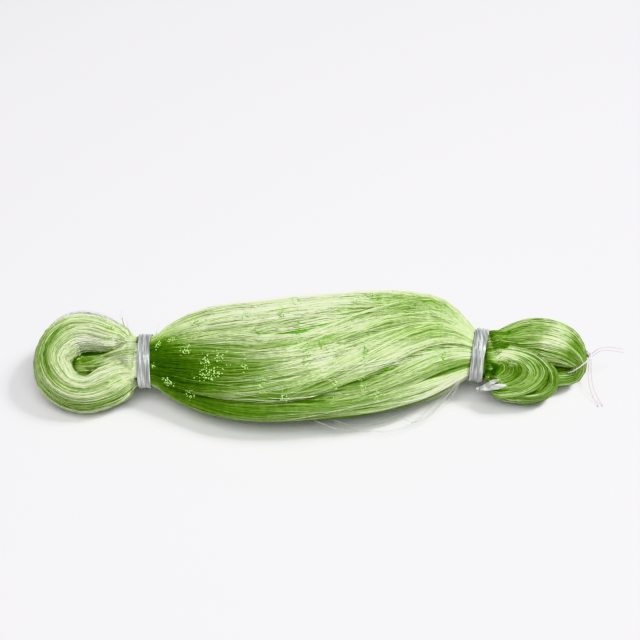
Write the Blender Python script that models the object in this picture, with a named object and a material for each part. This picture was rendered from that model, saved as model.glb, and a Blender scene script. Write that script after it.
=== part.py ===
"""Hank of monofilament fishing net, folded to length and tied near both ends.

The net is gathered lengthwise into one thick bundle.  A flat ribbon ties the bundle
near each end, so that it swells between the ties and turns back on itself outside
them: one bight at the left, lying almost flat around a small eye, and two at the
right, a tall one and a shorter curl in front of it.  A thin string goes round the tip of
the tall bight and ends in a knot with four loose ends.

Units in the tables are millimetres and degrees.  +X runs along the hank, +Y to its
back and +Z up.  The hank rests on Z = 0, and the origin is in the middle of the flat
that the body of the hank rests on.
"""

import math

import bmesh
import bpy
from mathutils import Vector
from mathutils.bvhtree import BVHTree

MM = 0.001

# ---------------------------------------------------------------- driving dimensions
GAP = 0.35  # clear space kept between neighbouring pieces
TIE_SLACK = 0.9  # between a ribbon and the neck inside it
RIBBON_THICKNESS = 1.0  # the few wraps of each tie, taken together
LEFT_TIE_X = -137.3
LEFT_TIE_WIDTH = 10.6
RIGHT_TIE_X = 145.0
RIGHT_TIE_WIDTH = 11.0
RIGHT_NECK_YAW = -11.0  # the right neck turns this far towards the front
NECK_HALF_WIDTH = 22.6
NECK_HALF_HEIGHT = 19.6
NECK_HEIGHT = 40.0  # height of the neck's centre above the surface

STRING_DIAMETER = 1.2
STRING_KNOT_RADIUS = 1.9

BODY_SIDES = 60
BODY_RINGS = 60  # between the necks
NECK_RINGS = (0.0, 3.75, 7.5)  # distances from the middle of a tie
MERGE_VOXEL = 2.0
KEEP_FACES = 0.066

# ---------------------------------------------------------------- the body of the hank
# One row for each cross-section, at right angles to the hank but for its yaw.
BODY_COLUMNS = ("x", "y", "z", "half_width", "half_height", "yaw")
BODY = (
    (-150.0, 0.0, 40.0, 22.0, 19.0, 0.0),
    (-144.3, 0.2, 40.0, NECK_HALF_WIDTH, NECK_HALF_HEIGHT, 0.0),
    (LEFT_TIE_X, 0.4, NECK_HEIGHT, NECK_HALF_WIDTH, NECK_HALF_HEIGHT, 0.0),
    (-133.8, 0.6, 40.0, NECK_HALF_WIDTH, NECK_HALF_HEIGHT, 0.0),
    (-130.3, 1.1, 39.7, NECK_HALF_WIDTH + 0.1, NECK_HALF_HEIGHT + 0.1, 0.0),
    (-121.0, 3.8, 36.6, 30.8, 26.4, 0.0),
    (-109.0, 5.2, 34.9, 37.4, 30.6, 0.0),
    (-92.0, 5.2, 35.2, 45.4, 35.5, 0.0),
    (-70.0, 3.5, 36.8, 51.7, 38.9, 0.0),
    (-49.0, 1.4, 38.4, 54.0, 40.4, 0.0),
    (-28.0, 1.2, 39.6, 55.4, 41.6, 0.0),
    (-7.0, 2.3, 40.4, 56.4, 42.4, 0.0),
    (14.0, 4.2, 40.6, 56.8, 42.6, 0.0),
    (35.0, 6.8, 40.5, 56.8, 42.6, 0.0),
    (57.0, 10.2, 40.0, 56.0, 42.0, 0.0),
    (78.0, 14.4, 38.2, 53.6, 40.2, -1.0),
    (95.0, 17.0, 36.6, 50.2, 38.2, -3.0),
    (112.0, 17.6, 35.8, 44.0, 34.6, -6.0),
    (125.0, 14.6, 36.8, 35.6, 29.6, -9.0),
    (134.0, 10.2, 38.9, 27.2, 23.6, RIGHT_NECK_YAW),
    (138.0, 8.4, 39.8, NECK_HALF_WIDTH, NECK_HALF_HEIGHT, RIGHT_NECK_YAW),
    (141.5, 7.7, 40.0, NECK_HALF_WIDTH, NECK_HALF_HEIGHT, RIGHT_NECK_YAW),
    (RIGHT_TIE_X, 7.0, NECK_HEIGHT, NECK_HALF_WIDTH, NECK_HALF_HEIGHT, RIGHT_NECK_YAW),
    (152.0, 5.6, 40.0, NECK_HALF_WIDTH, NECK_HALF_HEIGHT, RIGHT_NECK_YAW),
    (158.0, 4.4, 39.6, 21.5, 18.5, RIGHT_NECK_YAW),
)

# The main twists of the body: thick locks of net that wind round it from one tie to
# the other.  An angle is measured round the section: 0 at the front, 90 on top, 180
# at the back.  A row has the lock's angle at its left, its middle and its right end.
LOCK_COLUMNS = ("left_x", "right_x", "left", "middle", "right", "half_angle", "height")
LOCKS = {
    "flare": (-128.0, 10.0, 52.0, 55.0, 62.0, 34.0, 2.6),
    "top": (-125.0, 138.0, 126.0, 130.0, 108.0, 20.0, 3.8),
    "shoulder": (-30.0, 138.0, 72.0, 93.0, 116.0, 13.0, 3.6),
    "diagonal": (-45.0, 140.0, 16.0, 52.0, 88.0, 15.0, 4.6),
    "front_face": (-10.0, 140.0, 4.0, 20.0, 44.0, 13.0, 3.0),
    "front_low": (-118.0, 140.0, -14.0, -6.0, 1.0, 16.0, 3.6),
    "back_high": (-120.0, 138.0, 160.0, 172.0, 150.0, 17.0, 4.0),
    "back_middle": (-118.0, 138.0, 192.0, 206.0, 186.0, 17.0, 4.0),
    "back_low": (-118.0, 138.0, 226.0, 236.0, 222.0, 17.0, 3.4),
    "under": (-118.0, 138.0, 300.0, 312.0, 322.0, 17.0, 3.0),
}

# ---------------------------------------------------------------- the bights
# A bight is a loop of the bundle.  Each row is a section of it: its centre, its radius
# across the bundle within the loop's plane, and its half thickness across that plane.
BIGHT_COLUMNS = ("x", "y", "z", "radius", "half_thickness")

LEFT_BIGHT_TILT = 22.0  # how far the loop's plane leans up from the surface
LEFT_BIGHT = (
    (-151.5, 13.6, 42.8, 8.0, 15.5),
    (-157.0, 18.6, 43.2, 12.0, 20.5),
    (-168.0, 22.8, 42.6, 15.5, 24.5),
    (-183.0, 28.0, 41.4, 17.4, 27.5),
    (-199.0, 28.6, 39.6, 18.0, 30.0),
    (-212.4, 18.8, 36.4, 18.0, 30.0),
    (-217.0, 3.3, 32.0, 17.6, 28.5),
    (-213.0, -11.0, 26.0, 16.4, 27.5),
    (-200.5, -20.6, 22.4, 14.5, 25.5),
    (-184.5, -22.0, 22.2, 15.0, 24.5),
    (-168.0, -15.4, 26.4, 17.0, 22.5),
    (-157.0, -10.0, 31.4, 15.0, 19.0),
    (-151.5, -7.6, 34.2, 11.5, 15.0),
)
# The net packed inside the loop, which closes the eye below.
LEFT_EYE_FLOOR = (
    (-147.5, 3.0, 39.5, 13.0, 15.5),
    (-157.0, 4.4, 35.6, 13.5, 15.5),
    (-170.0, 6.0, 28.6, 13.5, 13.5),
    (-184.0, 6.6, 25.0, 14.0, 13.0),
    (-200.0, 7.0, 24.0, 12.0, 12.0),
)

TALL_BIGHT_TILT = 60.0
TALL_BIGHT = (
    (161.0, 11.8, 42.2, 11.0, 11.5),
    (171.0, 17.5, 41.0, 15.0, 18.5),
    (190.0, 23.6, 38.0, 19.0, 24.0),
    (208.0, 23.4, 35.4, 19.5, 25.0),
    (221.6, 20.6, 30.6, 16.5, 23.0),
    (230.4, 15.8, 22.8, 10.5, 20.0),
    (228.0, 10.2, 14.6, 9.2, 19.0),
    (216.4, 8.6, 12.4, 9.0, 18.5),
    (198.0, 7.0, 13.4, 8.5, 18.0),
    (173.0, 5.2, 20.7, 8.5, 15.0),
    (158.5, 4.4, 29.4, 8.0, 12.0),
)

CURL_TILT = 35.0
CURL = (
    (156.0, 2.6, 39.2, 8.0, 13.0),
    (164.0, 5.0, 36.8, 10.5, 18.0),
    (180.0, 4.6, 31.6, 13.5, 21.0),
    (188.0, -4.2, 25.4, 14.0, 22.0),
    (180.5, -12.2, 20.4, 13.0, 21.0),
    (167.0, -12.6, 21.0, 11.5, 18.0),
    (157.0, -8.0, 29.0, 9.0, 12.0),
)
# A looser band of the same net that runs round the outside of the curl.
CURL_BAND = (
    (157.0, 8.8, 44.6, 6.0, 10.0),
    (167.2, 10.8, 42.0, 7.0, 16.0),
    (189.4, 11.0, 33.2, 7.0, 18.0),
    (204.0, 1.7, 24.6, 7.5, 18.0),
    (205.6, -8.8, 18.4, 7.5, 18.0),
    (195.0, -17.0, 14.6, 6.5, 17.0),
    (175.0, -18.2, 16.6, 6.0, 16.0),
    (156.0, -10.4, 28.4, 5.5, 9.5),
)

# ---------------------------------------------------------------- the right tie's tail
TAIL_COLUMNS = ("x", "y", "z", "width", "lean")
RIGHT_TAIL = (
    (146.6, -20.2, 29.2, 2.6, 60.0),
    (150.5, -22.2, 34.6, 4.4, 56.0),
    (156.0, -23.2, 39.6, 6.8, 52.0),
    (161.5, -23.8, 42.2, 9.0, 48.0),
    (167.0, -24.4, 42.8, 10.6, 46.0),
)
TAIL_THICKNESS = 0.8
RIGHT_KNOT = (143.4, -19.6, 26.0)
RIGHT_KNOT_RADII = (2.2, 1.9, 2.4)

# ---------------------------------------------------------------- the string
STRING_KNOT = (241.6, 17.4, 26.2)
ROUTE_COLUMNS = ("x", "y", "z")
# Guide points of the loop round the tall bight's tip, laid on the net where they
# touch it: the front half comes out of the eye, and the back half goes behind.
STRING_FRONT = (
    (221.5, -1.6, 25.5),
    (224.5, -3.2, 29.5),
    (228.5, -2.4, 33.2),
    (233.3, 0.4, 35.6),
    (237.4, 5.4, 35.4),
    (240.2, 11.0, 32.4),
    (241.6, 15.0, 29.4),
)
STRING_BACK = (
    (241.6, 19.9, 26.2),
    (240.0, 25.0, 23.4),
    (235.5, 31.0, 18.5),
    (229.0, 35.0, 14.5),
    (221.0, 35.5, 12.5),
)
# The loose ends, from the knot to their tips.
STRING_ENDS = {
    "string_end_right_upper": (
        (243.8, 18.2, 27.4), (249.5, 19.6, 32.6), (258.0, 22.0, 31.8), (271.9, 25.0, 25.2),
    ),
    "string_end_right_lower": (
        (244.0, 16.4, 26.2), (251.5, 18.0, 31.6), (262.0, 20.6, 28.4), (273.0, 25.0, 20.2),
    ),
    "string_end_down_left": (
        (242.0, 15.4, 24.2), (241.0, 7.0, 17.6), (241.2, -2.0, 11.6), (244.2, -10.0, 5.2),
        (249.2, -19.2, 0.75),
    ),
    "string_end_down_right": (
        (243.4, 15.4, 24.0), (243.6, 7.0, 16.6), (244.6, -2.0, 10.0), (248.0, -10.0, 4.4),
        (253.0, -18.4, 0.75),
    ),
}


# ---------------------------------------------------------------- helpers
def column(table, columns, name):
    at = columns.index(name)
    return [row[at] for row in table]


def blend(values, knots, at):
    """Smooth value at a place between knots: a cubic through the values."""
    last = len(knots) - 1
    i = 0
    while i < last - 1 and at > knots[i + 1]:
        i += 1

    def slope(j):
        if j == 0:
            return (values[1] - values[0]) / (knots[1] - knots[0])
        if j == last:
            return (values[last] - values[last - 1]) / (knots[last] - knots[last - 1])
        return (values[j + 1] - values[j - 1]) / (knots[j + 1] - knots[j - 1])

    span = knots[i + 1] - knots[i]
    t = (at - knots[i]) / span
    a, b = slope(i) * span, slope(i + 1) * span
    return (
        values[i] * (2 * t**3 - 3 * t**2 + 1)
        + a * (t**3 - 2 * t**2 + t)
        + values[i + 1] * (3 * t**2 - 2 * t**3)
        + b * (t**3 - t**2)
    )


def fade(at, left, right, length):
    """0 outside left..right, 1 well inside, smooth over the length at each end."""
    near = min(max((at - left) / length, 0.0), 1.0) * min(max((right - at) / length, 0.0), 1.0)
    return near * near * (3 - 2 * near)


def new_object(name, bm, material=None, smooth=True):
    bmesh.ops.recalc_face_normals(bm, faces=bm.faces)
    mesh = bpy.data.meshes.new(name)
    bm.to_mesh(mesh)
    bm.free()
    if smooth:
        mesh.shade_smooth()
    thing = bpy.data.objects.new(name, mesh)
    bpy.context.scene.collection.objects.link(thing)
    if material:
        mesh.materials.append(material)
    return thing


def skin(rings):
    """A closed body through rings of points, each ring with the same count."""
    bm = bmesh.new()
    loops = [[bm.verts.new(Vector(p) * MM) for p in ring] for ring in rings]
    count = len(loops[0])
    for a, b in zip(loops, loops[1:]):
        for i in range(count):
            j = (i + 1) % count
            bm.faces.new((a[i], a[j], b[j], b[i]))
    bm.faces.new(list(reversed(loops[0])))
    bm.faces.new(loops[-1])
    bmesh.ops.recalc_face_normals(bm, faces=bm.faces)
    bmesh.ops.triangulate(bm, faces=bm.faces)
    return bm


def material(name, colour, roughness, metallic=0.0):
    made = bpy.data.materials.new(name)
    made.use_nodes = True
    shader = made.node_tree.nodes["Principled BSDF"]
    shader.inputs["Base Color"].default_value = (*colour, 1.0)
    shader.inputs["Roughness"].default_value = roughness
    shader.inputs["Metallic"].default_value = metallic
    return made


# ---------------------------------------------------------------- the net
def body_section(x):
    xs = column(BODY, BODY_COLUMNS, "x")
    return {n: blend(column(BODY, BODY_COLUMNS, n), xs, x) for n in BODY_COLUMNS[1:]}


def lock_relief(x, angle):
    """Height of the locks above the plain section, at a place and an angle round it."""
    relief = 0.0
    for row in LOCKS.values():
        lock = dict(zip(LOCK_COLUMNS, row))
        if not lock["left_x"] < x < lock["right_x"]:
            continue
        middle_x = (lock["left_x"] + lock["right_x"]) / 2
        crest = blend(
            (lock["left"], lock["middle"], lock["right"]),
            (lock["left_x"], middle_x, lock["right_x"]),
            x,
        )
        off = (angle - crest + 180.0) % 360.0 - 180.0
        reach = abs(off) / lock["half_angle"]
        if reach < 1.6:
            hump = math.cos(min(reach, 1.0) * math.pi / 2) ** 2
            groove = 0.35 * math.sin((reach - 1.0) / 0.6 * math.pi) if reach > 1.0 else 0.0
            relief += lock["height"] * (hump - groove) * fade(x, lock["left_x"], lock["right_x"], 34.0)
    return relief


def body_ring(x):
    s = body_section(x)
    yaw = math.radians(s["yaw"])
    across = Vector((-math.sin(yaw), math.cos(yaw), 0.0))
    centre = Vector((x, s["y"], s["z"]))
    ring = []
    for i in range(BODY_SIDES):
        angle = 360.0 * i / BODY_SIDES
        a = math.radians(angle)
        grow = lock_relief(x, angle)
        out = -(s["half_width"] + grow) * math.cos(a)
        rise = (s["half_height"] + grow) * math.sin(a)
        ring.append(centre + across * out + Vector((0, 0, rise)))
    return ring


def body():
    left, right = LEFT_TIE_X + NECK_RINGS[-1] + 2.0, RIGHT_TIE_X - NECK_RINGS[-1] - 2.0
    places = {left + (right - left) * i / BODY_RINGS for i in range(BODY_RINGS + 1)}
    for middle in (LEFT_TIE_X, RIGHT_TIE_X):
        places |= {middle - d for d in NECK_RINGS} | {middle + d for d in NECK_RINGS}
    places |= {BODY[0][0], BODY[-1][0]}
    return skin([body_ring(x) for x in sorted(places)])


def bight(table, tilt, steps, sides, ridge=0.035):
    """The bundle swept along a loop, with shallow lengthwise ridges that wind a little."""
    lean = math.radians(tilt)
    plane = Vector((0.0, -math.sin(lean), math.cos(lean)))
    knots = [0.0]
    for a, b in zip(table, table[1:]):
        knots.append(knots[-1] + (Vector(b[:3]) - Vector(a[:3])).length)
    rows = {n: column(table, BIGHT_COLUMNS, n) for n in BIGHT_COLUMNS}

    def centre(at):
        return Vector([blend(rows[n], knots, at) for n in ("x", "y", "z")])

    rings = []
    for i in range(steps + 1):
        at = knots[-1] * i / steps
        before, after = max(at - 0.5, 0.0), min(at + 0.5, knots[-1])
        along = (centre(after) - centre(before)).normalized()
        outward = plane.cross(along).normalized()
        up = along.cross(outward)
        radius, half = blend(rows["radius"], knots, at), blend(rows["half_thickness"], knots, at)
        inside = fade(at, 0.0, knots[-1], 30.0)
        ring = []
        for k in range(sides):
            a = 2 * math.pi * k / sides
            wave = 1 + ridge * inside * math.cos(5 * a + 2.2 * at / 60.0) + 0.6 * ridge * inside * math.cos(3 * a - at / 30.0)
            ring.append(centre(at) + outward * (radius * math.cos(a) * wave) + up * (half * math.sin(a) * wave))
        rings.append(ring)
    return skin(rings)


def box(low, high):
    bm = bmesh.new()
    bmesh.ops.create_cube(bm, size=1.0)
    low, high = Vector(low) * MM, Vector(high) * MM
    for v in bm.verts:
        v.co = Vector([low[i] if v.co[i] < 0 else high[i] for i in range(3)])
    return bm


def build_net(net):
    """The body and the bights as one solid, cut flat where it rests on the surface."""
    forms = [
        body(),
        bight(LEFT_BIGHT, LEFT_BIGHT_TILT, 60, 36),
        bight(LEFT_EYE_FLOOR, LEFT_BIGHT_TILT, 16, 24),
        bight(TALL_BIGHT, TALL_BIGHT_TILT, 60, 32),
        bight(CURL, CURL_TILT, 40, 30),
        bight(CURL_BAND, CURL_TILT, 40, 24, 0.02),
    ]
    whole = bmesh.new()
    for form in forms:
        loose = bpy.data.meshes.new("form")
        form.to_mesh(loose)
        form.free()
        whole.from_mesh(loose)
        bpy.data.meshes.remove(loose)
    mesh = bpy.data.meshes.new("net_hank")
    whole.to_mesh(mesh)
    whole.free()
    mesh.materials.append(net)
    hank = bpy.data.objects.new("net_hank", mesh)
    bpy.context.scene.collection.objects.link(hank)

    merge = hank.modifiers.new("merge_forms", "REMESH")
    merge.mode = "VOXEL"
    merge.voxel_size = MERGE_VOXEL * MM
    merge.use_smooth_shade = True
    thin = hank.modifiers.new("fewer_faces", "DECIMATE")
    thin.ratio = KEEP_FACES
    thin.use_collapse_triangulate = True

    below = new_object("surface_below", box((-320, -160, -40), (320, 160, 0)))
    below.hide_render = True
    below.display_type = "WIRE"
    rest = hank.modifiers.new("rest_flat", "BOOLEAN")
    rest.operation = "DIFFERENCE"
    rest.solver = "EXACT"
    rest.object = below
    return hank


# ---------------------------------------------------------------- the ties
def tie(name, x, width, look, slack):
    """A ribbon round the neck: an oval band, bowed outwards a little between its edges."""
    s = body_section(x)
    yaw = math.radians(s["yaw"])
    along = Vector((math.cos(yaw), math.sin(yaw), 0.0))
    across = Vector((-math.sin(yaw), math.cos(yaw), 0.0))
    centre = Vector((x, s["y"], s["z"]))
    edges = 3
    profile = []
    for k in range(edges + 1):
        t = -1.0 + 2.0 * k / edges
        profile.append((t * width / 2, slack + 0.25 * (1 - t * t)))
    for k in range(edges, -1, -1):
        t = -1.0 + 2.0 * k / edges
        profile.append((t * width / 2, slack + RIBBON_THICKNESS + 0.25 * (1 - t * t)))
    bm = bmesh.new()
    sides = 40
    loops = []
    for i in range(sides):
        a = 2 * math.pi * i / sides
        ring = []
        for shift, grow in profile:
            p = (
                centre
                + along * shift
                - across * ((s["half_width"] + grow) * math.cos(a))
                + Vector((0, 0, (s["half_height"] + grow) * math.sin(a)))
            )
            ring.append(bm.verts.new(p * MM))
        loops.append(ring)
    count = len(profile)
    for i in range(sides):
        a, b = loops[i], loops[(i + 1) % sides]
        for k in range(count):
            m = (k + 1) % count
            bm.faces.new((a[k], a[m], b[m], b[k]))
    return new_object(name, bm, look)


def knot(name, centre, radii, look):
    bm = bmesh.new()
    bmesh.ops.create_uvsphere(bm, u_segments=14, v_segments=10, radius=1.0)
    for v in bm.verts:
        v.co = Vector([(centre[i] + radii[i] * v.co[i]) * MM for i in range(3)])
    return new_object(name, bm, look)


def tail(name, table, look):
    """A flat, slightly troughed ribbon end."""
    knots = column(table, TAIL_COLUMNS, "x")
    rings = []
    steps = 12
    for i in range(steps + 1):
        x = knots[0] + (knots[-1] - knots[0]) * i / steps
        value = {n: blend(column(table, TAIL_COLUMNS, n), knots, x) for n in TAIL_COLUMNS[1:]}
        lean = math.radians(value["lean"])
        wide = Vector((0.0, math.cos(lean), math.sin(lean)))
        face = Vector((0.0, -math.sin(lean), math.cos(lean)))
        top, bottom = [], []
        for k in range(7):
            t = -1.0 + 2.0 * k / 6
            p = Vector((x, value["y"], value["z"])) + wide * (t * value["width"] / 2) - face * (0.10 * value["width"] * (1 - t * t))
            top.append(p + face * TAIL_THICKNESS / 2)
            bottom.append(p - face * TAIL_THICKNESS / 2)
        rings.append(top + bottom[::-1])
    return new_object(name, skin(rings), look, smooth=False)


# ---------------------------------------------------------------- the string
def smooth_route(points, spacing):
    knots = [0.0]
    for a, b in zip(points, points[1:]):
        knots.append(knots[-1] + (Vector(b) - Vector(a)).length)
    count = max(6, math.ceil(knots[-1] / spacing))
    axes = [[p[i] for p in points] for i in range(3)]
    return [Vector([blend(axes[i], knots, knots[-1] * k / count) for i in range(3)]) for k in range(count + 1)]


def laid_on(points, surface, lift):
    """Lays a route on the net: lift above its surface, and eased between neighbours."""

    def clear(p):
        spot, normal, _, distance = surface.find_nearest(p * MM)
        spot, distance = spot / MM, distance / MM
        outside = (p - spot).dot(normal) > 0
        return p if outside and distance >= lift else spot + normal * lift

    laid = [clear(p) for p in points]
    for _ in range(4):
        eased = [laid[0]]
        for a, b, c in zip(laid, laid[1:], laid[2:]):
            eased.append(clear((a + 2 * b + c) / 4))
        laid = [*eased, laid[-1]]
    return laid


def cord(name, points, look):
    curve = bpy.data.curves.new(name, "CURVE")
    curve.dimensions = "3D"
    curve.bevel_depth = STRING_DIAMETER / 2 * MM
    curve.bevel_resolution = 2
    curve.use_fill_caps = True
    curve.resolution_u = 1
    curve.render_resolution_u = 0
    line = curve.splines.new("POLY")
    line.points.add(len(points) - 1)
    for spot, p in zip(line.points, points):
        spot.co = (*(p * MM), 1.0)
    thing = bpy.data.objects.new(name, curve)
    bpy.context.scene.collection.objects.link(thing)
    curve.materials.append(look)
    return thing


def main():
    for thing in list(bpy.data.objects):
        bpy.data.objects.remove(thing, do_unlink=True)

    net = material("green_monofilament", (0.33, 0.56, 0.16), 0.32)
    ribbon = material("clear_ribbon", (0.86, 0.87, 0.89), 0.25)
    white = material("white_string", (0.88, 0.86, 0.86), 0.6)

    hank = build_net(net)
    tie("left_tie", LEFT_TIE_X, LEFT_TIE_WIDTH, ribbon, TIE_SLACK)
    tie("right_tie", RIGHT_TIE_X, RIGHT_TIE_WIDTH, ribbon, TIE_SLACK)
    knot("right_tie_knot", RIGHT_KNOT, RIGHT_KNOT_RADII, ribbon)
    tail("right_tie_tail", RIGHT_TAIL, ribbon)

    bpy.context.view_layer.update()
    surface = BVHTree.FromObject(hank, bpy.context.evaluated_depsgraph_get())
    lift = STRING_DIAMETER / 2 + GAP + 0.55
    for name, route in (("string_loop_front", STRING_FRONT), ("string_loop_back", STRING_BACK)):
        points = laid_on(smooth_route(route, 2.2), surface, lift)
        cord(name, points, white)
    knot("string_knot", STRING_KNOT, (STRING_KNOT_RADIUS, STRING_KNOT_RADIUS, STRING_KNOT_RADIUS * 1.3), white)
    for name, route in STRING_ENDS.items():
        cord(name, smooth_route(route, 2.6), white)


main()
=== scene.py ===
"""Looks for the tied hank of green monofilament fishing net.

The strands are modelled: thin closed tubes laid in locks along the same body and bights
that the CAD solid has, over a darker core; the core stands for the inner net, and its
darker green is painted shade for the hank's inside.  The strands' tones carry painted
shade and highlights as well as the net's own deeper and paler green.  Tables are in
millimetres and degrees.
"""

import math

import bpy
import numpy as np
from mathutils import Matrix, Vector
from mathutils.bvhtree import BVHTree


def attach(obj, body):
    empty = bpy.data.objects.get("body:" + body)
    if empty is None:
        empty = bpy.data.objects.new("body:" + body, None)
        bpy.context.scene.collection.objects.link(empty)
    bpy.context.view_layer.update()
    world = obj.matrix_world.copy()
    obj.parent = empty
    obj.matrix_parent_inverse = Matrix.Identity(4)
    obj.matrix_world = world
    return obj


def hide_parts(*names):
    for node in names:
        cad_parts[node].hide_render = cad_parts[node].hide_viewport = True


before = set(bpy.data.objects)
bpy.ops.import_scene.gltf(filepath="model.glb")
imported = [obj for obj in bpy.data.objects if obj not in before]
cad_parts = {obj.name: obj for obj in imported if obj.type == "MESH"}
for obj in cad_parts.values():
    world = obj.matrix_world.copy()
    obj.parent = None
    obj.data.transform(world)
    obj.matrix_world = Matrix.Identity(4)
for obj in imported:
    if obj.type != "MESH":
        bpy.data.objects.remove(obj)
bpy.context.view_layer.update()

MM = 0.001
rng = np.random.default_rng(4127)

# ------------------------------------------------------------------ the hank's form
BODY_COLUMNS = ("x", "y", "z", "half_width", "half_height", "yaw")
BODY = (
    (-150.0, 0.0, 40.0, 22.0, 19.0, 0.0),
    (-144.3, 0.2, 40.0, 22.6, 19.6, 0.0),
    (-137.3, 0.4, 40.0, 22.6, 19.6, 0.0),
    (-133.8, 0.6, 40.0, 22.6, 19.6, 0.0),
    (-130.3, 1.1, 39.7, 22.7, 19.7, 0.0),
    (-121.0, 3.8, 36.6, 30.8, 26.4, 0.0),
    (-109.0, 5.2, 34.9, 37.4, 30.6, 0.0),
    (-92.0, 5.2, 35.2, 45.4, 35.5, 0.0),
    (-70.0, 3.5, 36.8, 51.7, 38.9, 0.0),
    (-49.0, 1.4, 38.4, 54.0, 40.4, 0.0),
    (-28.0, 1.2, 39.6, 55.4, 41.6, 0.0),
    (-7.0, 2.3, 40.4, 56.4, 42.4, 0.0),
    (14.0, 4.2, 40.6, 56.8, 42.6, 0.0),
    (35.0, 6.8, 40.5, 56.8, 42.6, 0.0),
    (57.0, 10.2, 40.0, 56.0, 42.0, 0.0),
    (78.0, 14.4, 38.2, 53.6, 40.2, -1.0),
    (95.0, 17.0, 36.6, 50.2, 38.2, -3.0),
    (112.0, 17.6, 35.8, 44.0, 34.6, -6.0),
    (125.0, 14.6, 36.8, 35.6, 29.6, -9.0),
    (134.0, 10.2, 38.9, 27.2, 23.6, -11.0),
    (138.0, 8.4, 39.8, 22.6, 19.6, -11.0),
    (141.5, 7.7, 40.0, 22.6, 19.6, -11.0),
    (145.0, 7.0, 40.0, 22.6, 19.6, -11.0),
    (152.0, 5.6, 40.0, 22.6, 19.6, -11.0),
    (158.0, 4.4, 39.6, 21.5, 18.5, -11.0),
)
LEFT_TIE_X, LEFT_TIE_WIDTH = -137.3, 10.6
RIGHT_TIE_X, RIGHT_TIE_WIDTH = 145.0, 11.0

# Locks of strands that lie over the plain body.  x and angle at five stations along
# the lock; spread is its half width in degrees at its start, middle and end.
LOCK_COLUMNS = ("x0", "x1", "a0", "a1", "a2", "a3", "a4", "spread0", "spread1", "spread2", "height", "strands", "sink0", "sink1")
LOCKS = {
    "flare": (-131, 62, 52, 53, 56, 62, 72, 50, 30, 12, 2.6, 330, 0, 6),
    "top": (-131, 139, 124, 126, 130, 124, 106, 26, 19, 18, 4.0, 300, 0, 0),
    "top_front": (-131, 60, 96, 98, 104, 110, 116, 16, 13, 7, 2.0, 110, 0, 5),
    "shoulder": (-42, 139, 66, 76, 93, 108, 112, 9, 13, 16, 3.8, 200, 6, 0),
    "shoulder_low": (-60, 139, 52, 64, 78, 92, 98, 10, 10, 12, 2.4, 150, 6, 0),
    "diagonal": (-52, 139, 14, 30, 52, 72, 86, 8, 16, 15, 5.0, 300, 7, 0),
    "front_face": (-14, 139, 2, 10, 22, 36, 48, 8, 14, 16, 3.0, 190, 7, 0),
    "front_low": (-131, 139, -14, -10, -6, -3, 2, 18, 17, 17, 3.8, 260, 0, 0),
    "back_high": (-131, 139, 160, 166, 172, 164, 150, 18, 17, 17, 4.0, 130, 0, 0),
    "back_middle": (-131, 139, 192, 200, 206, 198, 186, 18, 17, 17, 4.0, 130, 0, 0),
    "back_low": (-131, 139, 226, 232, 236, 230, 222, 18, 17, 17, 3.4, 110, 0, 0),
    "under": (-131, 139, 300, 306, 312, 318, 322, 18, 17, 17, 3.0, 80, 0, 0),
}
BASE_STRANDS = 900
BASE_TWIST = 26.0

BIGHT_COLUMNS = ("x", "y", "z", "radius", "half")
LEFT_BIGHT = (
    (-151.5, 13.6, 42.8, 8.0, 15.5),
    (-157.0, 18.6, 43.2, 12.0, 20.5),
    (-168.0, 22.8, 42.6, 15.5, 24.5),
    (-183.0, 28.0, 41.4, 17.4, 27.5),
    (-198.8, 27.8, 39.6, 18.8, 30.0),
    (-211.6, 18.2, 36.4, 19.0, 30.0),
    (-217.6, 3.3, 32.0, 16.9, 28.5),
    (-212.0, -10.1, 26.0, 17.6, 27.5),
    (-200.0, -19.4, 22.4, 15.8, 25.5),
    (-184.5, -22.0, 22.2, 15.0, 24.5),
    (-168.0, -15.8, 26.2, 17.2, 22.8),
    (-157.0, -11.4, 30.2, 16.2, 20.6),
    (-151.5, -9.2, 32.6, 14.0, 18.2),
)
LEFT_EYE_FLOOR = (
    (-147.5, 3.0, 39.5, 13.0, 15.5),
    (-157.0, 4.4, 35.6, 13.5, 15.5),
    (-170.0, 6.0, 28.6, 13.5, 13.5),
    (-184.0, 6.6, 25.0, 14.0, 13.0),
    (-200.0, 7.0, 24.0, 12.0, 12.0),
)
TALL_BIGHT = (
    (161.0, 11.8, 42.2, 11.0, 11.5),
    (171.0, 17.5, 41.0, 15.0, 18.5),
    (190.0, 23.6, 38.0, 19.0, 24.0),
    (208.0, 23.4, 35.4, 19.5, 25.0),
    (221.6, 20.6, 30.6, 16.5, 23.0),
    (230.4, 15.8, 22.8, 10.5, 20.0),
    (228.0, 10.2, 14.6, 9.2, 19.0),
    (216.4, 8.6, 12.4, 9.0, 18.5),
    (198.0, 7.0, 13.4, 8.5, 18.0),
    (173.0, 5.2, 20.7, 8.5, 15.0),
    (158.5, 4.4, 29.4, 8.0, 12.0),
)
CURL = (
    (156.0, 2.6, 39.2, 8.0, 13.0),
    (164.0, 5.0, 36.8, 10.5, 18.0),
    (180.0, 4.6, 31.6, 13.5, 21.0),
    (188.0, -4.2, 25.4, 14.0, 22.0),
    (180.5, -12.2, 20.4, 13.0, 21.0),
    (167.0, -12.6, 21.0, 11.5, 18.0),
    (157.0, -8.0, 29.0, 9.0, 12.0),
)
CURL_BAND = (
    (157.0, 8.8, 44.6, 6.0, 10.0),
    (167.2, 10.8, 42.0, 7.0, 16.0),
    (189.4, 11.0, 33.2, 7.0, 18.0),
    (204.0, 1.7, 24.6, 7.5, 18.0),
    (205.6, -8.8, 18.4, 7.5, 18.0),
    (195.0, -17.0, 14.6, 6.5, 17.0),
    (175.0, -18.2, 16.6, 6.0, 16.0),
    (156.0, -10.4, 28.4, 5.5, 9.5),
)


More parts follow.
